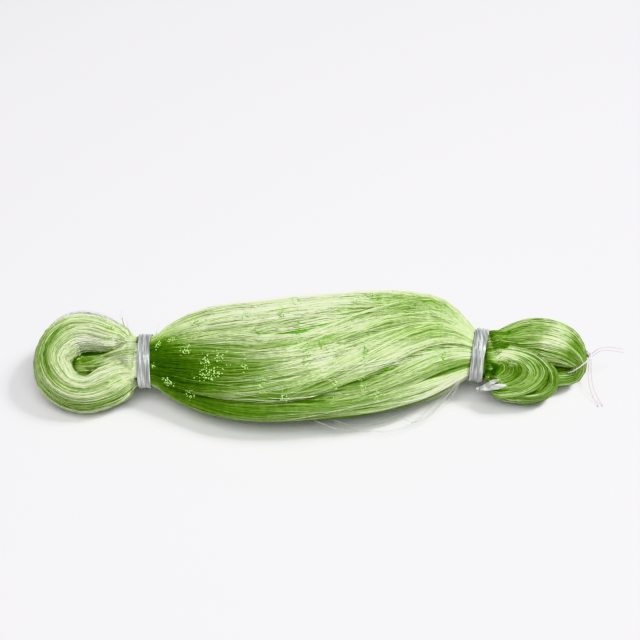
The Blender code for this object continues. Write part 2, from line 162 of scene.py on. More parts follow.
# ------------------------------------------------------------------ helpers
def cubic(knots, values, at):
    """Smooth values at places between knots, all at once."""
    knots, values, at = np.asarray(knots, float), np.asarray(values, float), np.asarray(at, float)
    slope = np.empty_like(values)
    slope[1:-1] = (values[2:] - values[:-2]) / (knots[2:] - knots[:-2]).reshape(-1, *([1] * (values.ndim - 1)))
    slope[0] = (values[1] - values[0]) / (knots[1] - knots[0])
    slope[-1] = (values[-1] - values[-2]) / (knots[-1] - knots[-2])
    i = np.clip(np.searchsorted(knots, at, side="right") - 1, 0, len(knots) - 2)
    span = knots[i + 1] - knots[i]
    t = (at - knots[i]) / span
    if values.ndim > 1:
        span, t = span[..., None], t[..., None]
    return (
        values[i] * (2 * t**3 - 3 * t**2 + 1)
        + slope[i] * span * (t**3 - 2 * t**2 + t)
        + values[i + 1] * (3 * t**2 - 2 * t**3)
        + slope[i + 1] * span * (t**3 - t**2)
    )


def ease(v):
    v = np.clip(v, 0.0, 1.0)
    return v * v * (3 - 2 * v)


def ripple(at, wavelength, phase):
    return np.sin(2 * np.pi * at / wavelength + phase)


BODY_X = [r[0] for r in BODY]
BODY_VALUES = np.array([r[1:] for r in BODY])


def lock_row(name):
    return dict(zip(LOCK_COLUMNS, LOCKS[name]))


def lock_angle(lock, x):
    u = np.clip((x - lock["x0"]) / (lock["x1"] - lock["x0"]), 0, 1)
    return cubic([0, 0.25, 0.5, 0.75, 1], [lock[f"a{i}"] for i in range(5)], u)


def lock_spread(lock, x):
    u = np.clip((x - lock["x0"]) / (lock["x1"] - lock["x0"]), 0, 1)
    return cubic([0, 0.5, 1], [lock["spread0"], lock["spread1"], lock["spread2"]], u)


def relief(x, angle):
    """How far the locks stand above the plain body."""
    total = np.zeros_like(x)
    for name in LOCKS:
        lock = lock_row(name)
        off = (angle - lock_angle(lock, x) + 180) % 360 - 180
        reach = np.abs(off) / lock_spread(lock, x)
        inside = ease((x - lock["x0"]) / 34) * ease((lock["x1"] - x) / 34)
        hump = np.where(reach < 1, np.cos(np.minimum(reach, 1) * np.pi / 2) ** 2, 0)
        groove = np.where((reach > 1) & (reach < 1.6), 0.5 * np.sin((reach - 1) / 0.6 * np.pi), 0)
        total += lock["height"] * (hump - groove) * inside
    return total


def body_point(x, angle, grow):
    """Places on the body: grow is measured outwards from the plain section."""
    v = cubic(BODY_X, BODY_VALUES, x)
    y, z, wide, high, yaw = (v[..., i] for i in range(5))
    a, turn = np.radians(angle), np.radians(yaw)
    out = -(wide + grow) * np.cos(a)
    up = (high + grow) * np.sin(a)
    return np.stack([x - np.sin(turn) * out, y + np.cos(turn) * out, z + up], -1)


class Bight:
    def __init__(self, table, tilt):
        rows = np.array(table)
        steps = np.linalg.norm(np.diff(rows[:, :3], axis=0), axis=1)
        self.knots = np.concatenate([[0], np.cumsum(steps)])
        self.rows = rows
        self.length = self.knots[-1]
        lean = math.radians(tilt)
        self.plane = np.array([0, -math.sin(lean), math.cos(lean)])

    def point(self, at, around, depth):
        """at: along the bundle; around: degrees from its outer side; depth: how far in."""
        v = cubic(self.knots, self.rows, at)
        ahead = cubic(self.knots, self.rows[:, :3], np.minimum(at + 0.5, self.length))
        behind = cubic(self.knots, self.rows[:, :3], np.maximum(at - 0.5, 0))
        along = ahead - behind
        along /= np.linalg.norm(along, axis=-1, keepdims=True)
        outward = np.cross(np.broadcast_to(self.plane, along.shape), along)
        outward /= np.linalg.norm(outward, axis=-1, keepdims=True)
        up = np.cross(along, outward)
        a = np.radians(around)[..., None]
        radius, half = v[..., 3:4], v[..., 4:5]
        return v[..., :3] + outward * (radius - depth[..., None]) * np.cos(a) + up * (half - depth[..., None]) * np.sin(a)


def mesh_object(name, points, faces, tone=None, smooth=True):
    """points in metres; faces is a list of equal-sided index arrays."""
    mesh = bpy.data.meshes.new(name)
    count = sum(len(f) for f in faces)
    loops = np.concatenate([f.ravel() for f in faces])
    sizes = np.concatenate([np.full(len(f), f.shape[1]) for f in faces])
    starts = np.concatenate([[0], np.cumsum(sizes)[:-1]])
    mesh.vertices.add(len(points))
    mesh.vertices.foreach_set("co", np.ascontiguousarray(points, dtype=np.float32).ravel())
    mesh.loops.add(len(loops))
    mesh.loops.foreach_set("vertex_index", loops.astype(np.int32))
    mesh.polygons.add(count)
    mesh.polygons.foreach_set("loop_start", starts.astype(np.int32))
    mesh.update(calc_edges=True)
    if smooth:
        mesh.shade_smooth()
    if tone is not None:
        layer = mesh.attributes.new("tone", "FLOAT", "POINT")
        layer.data.foreach_set("value", np.ascontiguousarray(tone, dtype=np.float32))
    thing = bpy.data.objects.new(name, mesh)
    bpy.context.scene.collection.objects.link(thing)
    return thing


def tubes(name, batches, look, sides=3):
    """Thin closed tubes.  A batch is (lines N*M*3 in mm, radius N, tone N*M, reference)."""
    all_points, quads, caps, tones, base = [], [], [], [], 0
    for lines, radius, tone, reference in batches:
        n, m = lines.shape[:2]
        lines = lines.copy()
        lines[..., 2] = np.maximum(lines[..., 2], radius[:, None] + 0.15)
        along = np.gradient(lines, axis=1)
        along /= np.linalg.norm(along, axis=-1, keepdims=True) + 1e-9
        side = np.cross(along, np.broadcast_to(np.asarray(reference, float), along.shape))
        side /= np.linalg.norm(side, axis=-1, keepdims=True) + 1e-9
        up = np.cross(side, along)
        taper = np.ones(m)
        taper[0] = taper[-1] = 0.35
        spin = rng.uniform(0, 2 * np.pi, n)
        ring = np.empty((n, m, sides, 3))
        for k in range(sides):
            a = spin[:, None, None] + 2 * np.pi * k / sides
            ring[:, :, k] = lines + (side * np.cos(a) + up * np.sin(a)) * (radius[:, None] * taper)[..., None]
        all_points.append(ring.reshape(-1, 3))
        tones.append(np.repeat(tone.ravel(), sides))
        index = base + np.arange(n * m * sides).reshape(n, m, sides)
        for k in range(sides):
            j = (k + 1) % sides
            quads.append(np.stack([index[:, :-1, k], index[:, :-1, j], index[:, 1:, j], index[:, 1:, k]], -1).reshape(-1, 4))
        caps.append(index[:, 0, ::-1].reshape(-1, sides))
        caps.append(index[:, -1, :].reshape(-1, sides))
        base += n * m * sides
    thing = mesh_object(name, np.concatenate(all_points) * MM, [np.concatenate(quads), np.concatenate(caps)], np.concatenate(tones))
    thing.data.materials.append(look)
    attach(thing, "root")
    return thing


# ------------------------------------------------------------------ materials
def shader(name):
    made = bpy.data.materials.new(name)
    made.use_nodes = True
    return made, made.node_tree, made.node_tree.nodes["Principled BSDF"]


def node(tree, kind, **settings):
    made = tree.nodes.new(kind)
    for key, value in settings.items():
        setattr(made, key, value)
    return made


def ramp(tree, stops):
    made = node(tree, "ShaderNodeValToRGB")
    row = made.color_ramp
    while len(row.elements) < len(stops):
        row.elements.new(0.5)
    for element, (place, colour) in zip(row.elements, stops):
        element.position = place
        element.color = (*colour, 1.0)
    return made


def strand_look(name, stops, roughness):
    made, tree, bsdf = shader(name)
    tone = node(tree, "ShaderNodeAttribute", attribute_name="tone")
    place = node(tree, "ShaderNodeTexCoord")
    noise = node(tree, "ShaderNodeTexNoise")
    noise.inputs["Scale"].default_value = 260.0
    noise.inputs["Detail"].default_value = 2.0
    tree.links.new(place.outputs["Object"], noise.inputs["Vector"])
    shift = node(tree, "ShaderNodeMath", operation="MULTIPLY_ADD")
    shift.inputs[1].default_value = 0.22
    tree.links.new(noise.outputs["Fac"], shift.inputs[0])
    tree.links.new(tone.outputs["Fac"], shift.inputs[2])
    colours = ramp(tree, stops)
    tree.links.new(shift.outputs[0], colours.inputs["Fac"])
    tree.links.new(colours.outputs["Color"], bsdf.inputs["Base Color"])
    bsdf.inputs["Roughness"].default_value = roughness
    bsdf.inputs["IOR"].default_value = 1.53
    shine = node(tree, "ShaderNodeMapRange")
    shine.inputs["To Min"].default_value = 0.12
    shine.inputs["To Max"].default_value = 0.75
    tree.links.new(tone.outputs["Fac"], shine.inputs["Value"])
    tree.links.new(shine.outputs["Result"], bsdf.inputs["Specular IOR Level"])
    return made


STRAND_STOPS = (
    (0.00, (0.022, 0.085, 0.004)),
    (0.24, (0.105, 0.240, 0.020)),
    (0.48, (0.300, 0.460, 0.115)),
    (0.74, (0.650, 0.740, 0.420)),
    (1.00, (0.900, 0.910, 0.760)),
)
net_look = strand_look("net_strands", STRAND_STOPS, 0.30)
clear_look = strand_look("clear_strands", ((0.0, (0.30, 0.33, 0.27)), (0.6, (0.66, 0.68, 0.64)), (1.0, (0.86, 0.86, 0.86))), 0.25)
# The core stands for the inner net; its darker green is painted shade for the hank's inside.
shaded_core_look = strand_look("net_core", ((0.2, (0.05, 0.16, 0.008)), (0.5, (0.13, 0.32, 0.03)), (0.9, (0.30, 0.52, 0.10))), 0.45)


knot_look = strand_look("net_knots", ((0.00, (0.09, 0.25, 0.02)), (0.35, (0.23, 0.47, 0.07)), (0.65, (0.48, 0.72, 0.24)), (1.00, (0.78, 0.90, 0.55))), 0.42)


FOLDED = ((0.34, (0.16, 0.168, 0.160)), (0.50, (0.26, 0.272, 0.258)), (0.66, (0.54, 0.552, 0.535)))
OPENED = ((0.32, (0.34, 0.36, 0.33)), (0.50, (0.50, 0.52, 0.49)), (0.68, (0.74, 0.75, 0.72)))


def white_plastic(name, along, dent=0.35, stops=FOLDED):
    made, tree, bsdf = shader(name)
    place = node(tree, "ShaderNodeTexCoord")
    noise = node(tree, "ShaderNodeTexNoise")
    noise.inputs["Scale"].default_value = 900.0
    stretch = node(tree, "ShaderNodeMapping")
    stretch.inputs["Scale"].default_value = along
    tree.links.new(place.outputs["Object"], stretch.inputs["Vector"])
    tree.links.new(stretch.outputs["Vector"], noise.inputs["Vector"])
    colours = ramp(tree, stops)
    tree.links.new(noise.outputs["Fac"], colours.inputs["Fac"])
    tree.links.new(colours.outputs["Color"], bsdf.inputs["Base Color"])
    bump = node(tree, "ShaderNodeBump")
    bump.inputs["Strength"].default_value = dent
    bump.inputs["Distance"].default_value = 0.0004
    tree.links.new(noise.outputs["Fac"], bump.inputs["Height"])
    tree.links.new(bump.outputs["Normal"], bsdf.inputs["Normal"])
    bsdf.inputs["Roughness"].default_value = 0.24
    bsdf.inputs["Specular IOR Level"].default_value = 0.8
    return made


def white_string():
    made, tree, bsdf = shader("string_fibre")
    place = node(tree, "ShaderNodeTexCoord")
    noise = node(tree, "ShaderNodeTexNoise")
    noise.inputs["Scale"].default_value = 1500.0
    tree.links.new(place.outputs["Object"], noise.inputs["Vector"])
    colours = ramp(tree, ((0.35, (0.36, 0.32, 0.33)), (0.62, (0.66, 0.60, 0.61))))
    tree.links.new(noise.outputs["Fac"], colours.inputs["Fac"])
    tree.links.new(colours.outputs["Color"], bsdf.inputs["Base Color"])
    bump = node(tree, "ShaderNodeBump")
    bump.inputs["Strength"].default_value = 0.5
    bump.inputs["Distance"].default_value = 0.0003
    tree.links.new(noise.outputs["Fac"], bump.inputs["Height"])
    tree.links.new(bump.outputs["Normal"], bsdf.inputs["Normal"])
    bsdf.inputs["Roughness"].default_value = 0.6
    return made


ribbon_look = white_plastic("ribbon_plastic", (1.0, 0.06, 0.06))
tail_look = white_plastic("ribbon_tail_plastic", (0.02, 0.32, 0.32), 0.10, OPENED)
string_look = white_string()

# ------------------------------------------------------------------ the camera and the string
camera_data = bpy.data.cameras.new("camera")
camera_data.lens = 85
camera_data.sensor_width = 36
camera = bpy.data.objects.new("camera", camera_data)
camera.location = (0.010, -0.795, 1.042)
camera.rotation_euler = (Vector((0.010, 0.079, 0.0)) - camera.location).to_track_quat("-Z", "Y").to_euler()
bpy.context.scene.collection.objects.link(camera)
bpy.context.scene.camera = camera

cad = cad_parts["net_hank"]
bpy.context.view_layer.update()
surface = BVHTree.FromObject(cad, bpy.context.evaluated_depsgraph_get())

STRING_DIAMETER = 1.2
STRING_FRONT = ((221.5, -1.6, 25.5), (224.5, -3.2, 29.5), (228.5, -2.4, 33.2), (233.3, 0.4, 35.6), (237.4, 5.4, 35.4), (240.2, 11.0, 32.4), (241.6, 15.0, 29.4))
STRING_BACK = ((241.6, 19.9, 26.2), (240.0, 25.0, 23.4), (235.5, 31.0, 18.5), (229.0, 35.0, 14.5), (221.0, 35.5, 12.5))
STRING_ENDS = {
    "string_end_right_upper": ((243.8, 18.2, 27.4), (249.5, 19.6, 32.6), (258.0, 22.0, 31.8), (271.9, 25.0, 25.2)),
    "string_end_right_lower": ((244.0, 16.4, 26.2), (251.5, 18.0, 31.6), (262.0, 20.6, 28.4), (273.0, 25.0, 20.2)),
    "string_end_down_left": ((242.0, 15.4, 24.2), (241.0, 7.0, 17.6), (241.2, -2.0, 11.6), (244.2, -10.0, 5.2), (249.2, -19.2, 0.75)),
    "string_end_down_right": ((243.4, 15.4, 24.0), (243.6, 7.0, 16.6), (244.6, -2.0, 10.0), (248.0, -10.0, 4.4), (253.0, -18.4, 0.75)),
}


def route_points(points, spacing):
    knots_at = np.concatenate([[0], np.cumsum(np.linalg.norm(np.diff(np.array(points), axis=0), axis=1))])
    count = max(6, math.ceil(knots_at[-1] / spacing))
    return cubic(knots_at, np.array(points, float), np.linspace(0, knots_at[-1], count + 1))


def laid_on(points, lift):
    """Lays a route on the net, lift above its surface, and eases it between neighbours."""

    def clear(p):
        spot, normal, _, distance = surface.find_nearest(Vector(p) * MM)
        spot, distance, normal = np.array(spot) / MM, distance / MM, np.array(normal)
        outside = np.dot(p - spot, normal) > 0
        return p if outside and distance >= lift else spot + normal * lift

    done = [clear(p) for p in points]
    for _ in range(4):
        done = [done[0]] + [clear((a + 2 * b + c) / 4) for a, b, c in zip(done, done[1:], done[2:])] + [done[-1]]
    return np.array(done)


def twisted(name, points, node_name, look):
    """A two-ply string: one closed tube whose two-lobed section turns along it."""
    steps = np.linalg.norm(np.diff(points, axis=0), axis=1)
    at = np.concatenate([[0], np.cumsum(steps)])
    count = int(at[-1] / 0.32) + 2
    s_at = np.linspace(0, at[-1], count)
    line = cubic(at, points, s_at)
    along = np.gradient(line, axis=0)
    along /= np.linalg.norm(along, axis=1, keepdims=True)
    normal = np.cross(along[0], [0.3, 0.9, 0.2])
    sides, rings = 10, []
    for p, d, place in zip(line, along, s_at):
        normal = normal - d * np.dot(normal, d)
        normal /= np.linalg.norm(normal)
        other = np.cross(d, normal)
        b = np.linspace(0, 2 * np.pi, sides, endpoint=False)
        r = STRING_DIAMETER / 2 * (0.80 + 0.20 * np.abs(np.cos(b - 2 * np.pi * place / 4.2)))
        rings.append(p + r[:, None] * (np.cos(b)[:, None] * normal + np.sin(b)[:, None] * other))
    rings = np.array(rings)
    index = np.arange(count * sides).reshape(count, sides)
    nxt = np.roll(index, -1, axis=1)
    walls = np.stack([index[:-1], nxt[:-1], nxt[1:], index[1:]], -1).reshape(-1, 4)
    thing = mesh_object(name, rings.reshape(-1, 3) * MM, [walls, index[:1, ::-1], index[-1:]])
    thing.data.materials.append(look)
    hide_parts(node_name)
    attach(thing, "root")
    return thing, line * MM


for end_name, end_route in STRING_ENDS.items():
    cord_points = route_points(end_route, 2.6)
    cord_piece, cord_line = twisted(end_name.replace("string_end", "string"), cord_points, end_name, string_look)
for loop_name, loop_route in (("string_loop_front", STRING_FRONT), ("string_loop_back", STRING_BACK)):
    twisted(loop_name + "_twisted", laid_on(route_points(loop_route, 2.2), STRING_DIAMETER / 2 + 0.9), loop_name, string_look)

# ------------------------------------------------------------------ tones, packing and painted shade and highlights
# Where the net is packed tight it is deeper green; where it lies loose it is paler. The patches also carry painted
# shade and highlights: darker on the underside and in the flare where highlights miss it, paler streaks where
# highlights fall.
PATCH_COLUMNS = ("x", "angle", "reach_x", "reach_angle", "change")
PACKING_AND_PAINTED_LIGHT_PATCHES = (
    (-122, 52, 80, 50, -0.64),
    (-132, 88, 18, 24, -0.34),
    (-92, 86, 24, 14, 0.16),
    (80, 78, 46, 16, -0.21),
    (108, 66, 60, 36, -0.10),
    (-105, 12, 56, 34, -0.26),
    (-10, 4, 120, 24, -0.38),
    (-60, -34, 120, 26, -0.28),
    (60, -34, 80, 22, -0.30),
    (92, 112, 46, 15, -0.34),
    (32, 92, 40, 6, -0.12),
    (8, 73, 38, 5, -0.32),
    (66, 99, 30, 5, -0.18),
    (128, 32, 40, 14, -0.38),
    (46, 30, 52, 13, -0.26),
    (112, 2, 36, 16, 0.14),
    (-40, 124, 90, 18, 0.06),
    (-74, 16, 36, 10, 0.33),
    (-38, 50, 32, 12, -0.16),
    (6, 38, 30, 8, -0.14),
    (-46, 83, 40, 5, 0.22),
)


# Tone map of the body: deeper green where packed, plus painted shade and painted highlights.
def packing_and_painted_light(x, angle):
    total = np.zeros_like(x)
    for row in PACKING_AND_PAINTED_LIGHT_PATCHES:
        p = dict(zip(PATCH_COLUMNS, row))
        off = (angle - p["angle"] + 180) % 360 - 180
        d = ((x - p["x"]) / p["reach_x"]) ** 2 + (off / p["reach_angle"]) ** 2
        total += p["change"] * np.exp(-1.2 * d)
    return total


def clump(values, size, seed):
    """Neighbouring strands share a tone: a stepped, smooth random value of an angle."""
    local = np.random.default_rng(seed)
    table = local.uniform(-1, 1, 512)
    at = values / size
    i = np.floor(at).astype(int)
    f = ease(at - i)
    return table[i % 512] * (1 - f) + table[(i + 1) % 512] * f


# ------------------------------------------------------------------ body strands
STATIONS = np.array([-141, -133, -127, -121, -113, -102, -86, -64, -40, -14, 14, 42, 66, 86, 102, 114, 124, 132, 139, 148.0])


def past_ties(x):
    """0 inside the ties, where every strand is held tight, and 1 on the body."""
    return ease((x + 131) / 16) * ease((139 - x) / 14)


def streaks(count):
    """Strand to strand differences: mostly slight, with some bright and some dark ones."""
    change = rng.normal(0, 0.085, count)
    change += np.where(rng.uniform(0, 1, count) < 0.16, 0.20, 0.0)
    change -= np.where(rng.uniform(0, 1, count) < 0.13, 0.20, 0.0)
    return change


def body_batch(x0, x1, angle_of, count, depth, radius, tone_shift, sink=(0, 0)):
    """count strands from x0 to x1; angle_of(x, t) gives the angle of strand t at x."""
    t = (np.arange(count) + rng.uniform(0, 1, count)) / count * 2 - 1
    inner = STATIONS[(STATIONS > x0 + 5) & (STATIONS < x1 - 5)]
    x = np.concatenate([[x0], inner, [x1]])[None, :] + np.zeros((count, 1))
    x[:, 0] += rng.uniform(0, 3, count)
    x[:, -1] -= rng.uniform(0, 3, count)
    loose = past_ties(x)
    angle = angle_of(x, t[:, None])
    wander = rng.uniform(0.2, 1.5, count)[:, None] * ripple(x, rng.uniform(80, 200, count)[:, None], rng.uniform(0, 6.3, count)[:, None])
    angle = angle + wander * loose
    deep = rng.uniform(depth[0], depth[1], count)[:, None]
    bob = 0.5 * rng.uniform(0, 1, count)[:, None] * ripple(x, rng.uniform(60, 140, count)[:, None], rng.uniform(0, 6.3, count)[:, None])
    grow = relief(x, angle) - deep + bob * loose
    if sink[0]:
        grow = grow - sink[0] * (1 - ease((x - x0) / 46))
    if sink[1]:
        grow = grow - sink[1] * (1 - ease((x1 - x) / 46))
    lines = body_point(x, angle, grow)
    size = rng.uniform(radius[0], radius[1], count)
    middle = angle[:, angle.shape[1] // 2]
    local = packing_and_painted_light(x, angle)
    busy = np.clip(1 + 1.3 * local, 0.2, 1.1)
    shade = 0.70 + tone_shift + (0.16 * clump(middle, 2.2, 11)[:, None] + 0.08 * clump(middle, 0.9, 12)[:, None] + streaks(count)[:, None]) * busy
    # local adds the body's packing tone with its painted shade and highlights; deeper strands are painted darker,
    # painted shade inside the locks.
    shade = shade + local - 0.10 * deep / max(depth[1], 0.1)
    return lines, size, shade, (0, 0, 1)


def lock_batch(name, left_end, right_end):
    lock = lock_row(name)

    def angle_of(x, t):
        return lock_angle(lock, x) + t * lock_spread(lock, x)

    x0 = left_end if lock["x0"] < -120 else lock["x0"]
    x1 = right_end if lock["x1"] > 130 else lock["x1"]
    return body_batch(x0, x1, angle_of, lock["strands"], (0.6, 2.0), (0.17, 0.31), 0.0, (lock["sink0"], lock["sink1"]))


def base_angle(x, t):
    u = (x + 137) / 282
    return 90 + 180 * t + BASE_TWIST * ease(u)


# The under layer is set 0.08 darker: painted shade for the deeper strands.
tubes("body_strands_under", [body_batch(-141, 148, base_angle, BASE_STRANDS, (1.8, 3.2), (0.25, 0.40), -0.08)], net_look)
BODY_PIECES = {
    "body_strands_front": ("flare", "diagonal", "front_face", "front_low"),
    "body_strands_top": ("top", "top_front", "shoulder", "shoulder_low"),
    "body_strands_back": ("back_high", "back_middle", "back_low", "under"),
}
for piece_name, lock_names in BODY_PIECES.items():
    tubes(piece_name, [lock_batch(n, -141, 148) for n in lock_names], net_look)


# Loose hairs that cross the locks a little way off the surface.
def flyaways(count, angle_range, grow_top):
    x0 = rng.uniform(-128, 70, count)
    x1 = np.minimum(x0 + rng.uniform(45, 150, count), 138)
    u = np.linspace(0, 1, 14)[None, :]
    x = x0[:, None] + (x1 - x0)[:, None] * u
    start = rng.uniform(angle_range[0], angle_range[1], count)[:, None]
    angle = start + rng.uniform(-6, 16, count)[:, None] * u + rng.uniform(-3, 3, count)[:, None] * np.sin(np.pi * u)
    lift = rng.uniform(0.3, grow_top, count)[:, None] * np.sin(np.pi * u) ** 0.7 * past_ties(x)
    lines = body_point(x, angle, relief(x, angle) - 0.9 + lift)
    # Loose hairs take the body's tone map, its painted shade and highlights included.
    shade = 0.88 + rng.normal(0, 0.12, count)[:, None] + 0.9 * packing_and_painted_light(x, angle)
    return lines, rng.uniform(0.10, 0.17, count), shade, (0, 0, 1)


# ------------------------------------------------------------------ bight strands
NECK_COLUMNS = ("tight", "easing", "held", "free", "y", "z", "slope")
NECKS = {
    "left": (-144.0, -149.8, -149.0, -161.0, 0.1, 40.0, 0.0),
    "right": (151.0, 156.5, 153.0, 163.0, 7.0, 40.0, -0.19),
    "right_top": (151.0, 156.5, 155.0, 180.0, 7.0, 40.0, -0.19),
}


def held_by_neck(lines, side, count):
    """Near a tie the strands leave the oval neck, whatever bundle they belong to."""
    n = dict(zip(NECK_COLUMNS, NECKS[side]))
    x = lines[..., 0]
    outwards = 1 - ease((x - n["held"]) / (n["free"] - n["held"]))
    inwards = 1 - ease((x - n["tight"]) / (n["easing"] - n["tight"]))
    centre_y = n["y"] + (n["slope"] * (x - 145.0) if n["slope"] else 0)
    z_at = n["z"]
    ry, rz = (lines[..., 1] - centre_y) / 22.6, (lines[..., 2] - z_at) / 19.6
    rho = np.sqrt(ry**2 + rz**2) + 1e-6
    wish = rng.uniform(0.87, 0.975, count)[:, None]
    if side == "right_top":
        outwards = outwards * ease((rz + 0.1) / 0.4)
        wish = wish * (1 + 0.12 * ease((x - 151.5) / 8))
    grown = rho + np.maximum(wish - rho, 0) * outwards - np.maximum(rho - wish, 0) * inwards
    k = grown / rho
    out = lines.copy()
    out[..., 1] = centre_y + ry * k * 22.6
    out[..., 2] = z_at + rz * k * 19.6
    return out


def bight_batch(bight, count, points, arc, depth, radius, twist=0.0, tone_of=None, shift=0.0, trim=(0.0, 0.0), seed=3, side="right"):
    t = rng.uniform(0, 1, count)
    around0 = arc[0] + (arc[1] - arc[0]) * t
    u = np.linspace(0, 1, points)[None, :]
    begin = trim[0] + rng.uniform(0, 2, count)[:, None]
    end = bight.length - trim[1] - rng.uniform(0, 2, count)[:, None]
    at = begin + (end - begin) * u
    around = around0[:, None] + twist * (u - 0.5)
    mid = ease(at / 16) * ease((bight.length - at) / 16)
    around = around + mid * rng.uniform(0.5, 3.5, count)[:, None] * ripple(at, rng.uniform(50, 140, count)[:, None], rng.uniform(0, 6.3, count)[:, None])
    deep = rng.uniform(depth[0], depth[1], count)[:, None] + 0.5 * mid * ripple(at, rng.uniform(40, 100, count)[:, None], rng.uniform(0, 6.3, count)[:, None])
    # shallow furrows between locks of strands
    furrow = 1.1 * clump(around, 11.0, seed) * mid
    lines = bight.point(at, around, deep + 0.8 + furrow)
    lines = held_by_neck(lines, side, count)
    size = rng.uniform(radius[0], radius[1], count)
    # Strands sunk in the furrows are painted darker: painted shade in the creases.
    shade = 0.54 + shift + 0.15 * clump(around0, 4.0, seed + 1)[:, None] + 0.8 * streaks(count)[:, None] - 0.08 * furrow
    shade = shade + 0 * at
    # tone_of adds a tone map along the bundle; for the left, eye floor, tall and curl bundles it is painted shade and
    # highlight.
    if tone_of:
        shade = shade + tone_of(at / bight.length, around)
    return lines, size, shade, bight.plane


# Each bundle is carried on into its neck, under the ribbon.
INTO_NECK = {
    "left": ((-143.0, 12.0, 42.0, 7.5, 13.0), (-143.0, -6.6, 36.0, 10.0, 12.0)),
    "floor": ((-143.0, 2.4, 40.0, 12.0, 13.0), None),
    "tall": ((152.5, 9.4, 42.0, 9.0, 9.8), (151.0, 4.6, 33.0, 7.2, 9.6)),
    "curl": ((149.0, 3.0, 39.0, 8.0, 12.0), (149.5, -4.6, 32.6, 8.2, 10.4)),
    "band": ((149.0, 8.0, 43.0, 5.0, 9.0), (149.5, -6.6, 31.6, 5.0, 8.6)),
}


def carried(name, table, tilt):
    first, last = INTO_NECK[name]
    rows = (first, *table) + ((last,) if last else ())
    return Bight(rows, tilt)


left = carried("left", LEFT_BIGHT, 22)
floor = carried("floor", LEFT_EYE_FLOOR, 22)
tall = carried("tall", TALL_BIGHT, 60)
curl = carried("curl", CURL, 35)
band = carried("band", CURL_BAND, 35)


def off_by(around, middle):
    return (around - middle + 180) % 360 - 180


# Painted shade and light on the left bight: darker at its far end, on its lower return, in a patch near the far end and
# on its underside; paler on the inner wall, painted light over the shade it lies in.
def left_painted_shading(u, around):
    far = np.exp(-(((u - 0.50) / 0.13) ** 2)) * np.exp(-((off_by(around, 112) / 46) ** 2))
    wall = np.exp(-(((u - 0.24) / 0.11) ** 2)) * np.exp(-((off_by(around, 42) / 38) ** 2))
    low = np.exp(-(((u - 0.77) / 0.13) ** 2)) * np.exp(-((off_by(around, 158) / 24) ** 2))
    smooth_patch = np.exp(-(((u - 0.40) / 0.10) ** 2)) * np.exp(-((off_by(around, 88) / 26) ** 2))
    under = ease((np.abs(off_by(around, 100)) - 75) / 60)
    return -0.22 * far + 0.16 * wall - 0.20 * low - 0.14 * smooth_patch - 0.18 * under


# Painted shade on the eye's floor: darker towards its far end under the rim, and darker on its top edge.
def eye_floor_painted_shade(u, around):
    return -0.26 * ease((u - 0.15) / 0.55) - 0.34 * ease((around - 80) / 50) * ease((u - 0.2) / 0.3)


# Painted highlight on the tall bight's crown and a streak beside it; painted shade near the neck, just past the crown
# and on the return.
def tall_painted_shading(u, around):
    crown = np.exp(-(((u - 0.34) / 0.05) ** 2)) * np.exp(-((off_by(around, 36) / 34) ** 2))
    streak = np.exp(-(((u - 0.28) / 0.05) ** 2)) * np.exp(-((off_by(around, 78) / 20) ** 2))
    far = np.exp(-(((u - 0.405) / 0.035) ** 2)) * np.exp(-((off_by(around, 52) / 34) ** 2))
    return 0.36 * crown + 0.22 * streak - 0.26 * (1 - ease(u / 0.22)) - 0.20 * far - 0.10 * ease((u - 0.44) / 0.1)


# Painted shade on the curl's inner side; painted light on its outer rim and near its start.
def curl_painted_shading(u, around):
    inner = np.exp(-((off_by(around, 180) / 70) ** 2))
    rim = np.exp(-((off_by(around, 0) / 36) ** 2)) * ease((u - 0.45) / 0.2)
    return -0.10 * inner + 0.26 * rim + 0.30 * np.exp(-(((u - 0.2) / 0.09) ** 2))


def band_tone(u, around):
    return 0.10 * np.exp(-(((u - 0.2) / 0.14) ** 2)) - 0.12 * np.exp(-(((u - 0.5) / 0.14) ** 2)) + 0.10 * ease((u - 0.75) / 0.1)


WHORL_MIDDLE = (151.6, -4.4, 38.6)
WHORL_ACROSS = (1.0, 0.0, 0.0)
WHORL_UP = (0.0, 0.766, 0.643)
WHORL_OUT = (0.0, -0.643, 0.766)


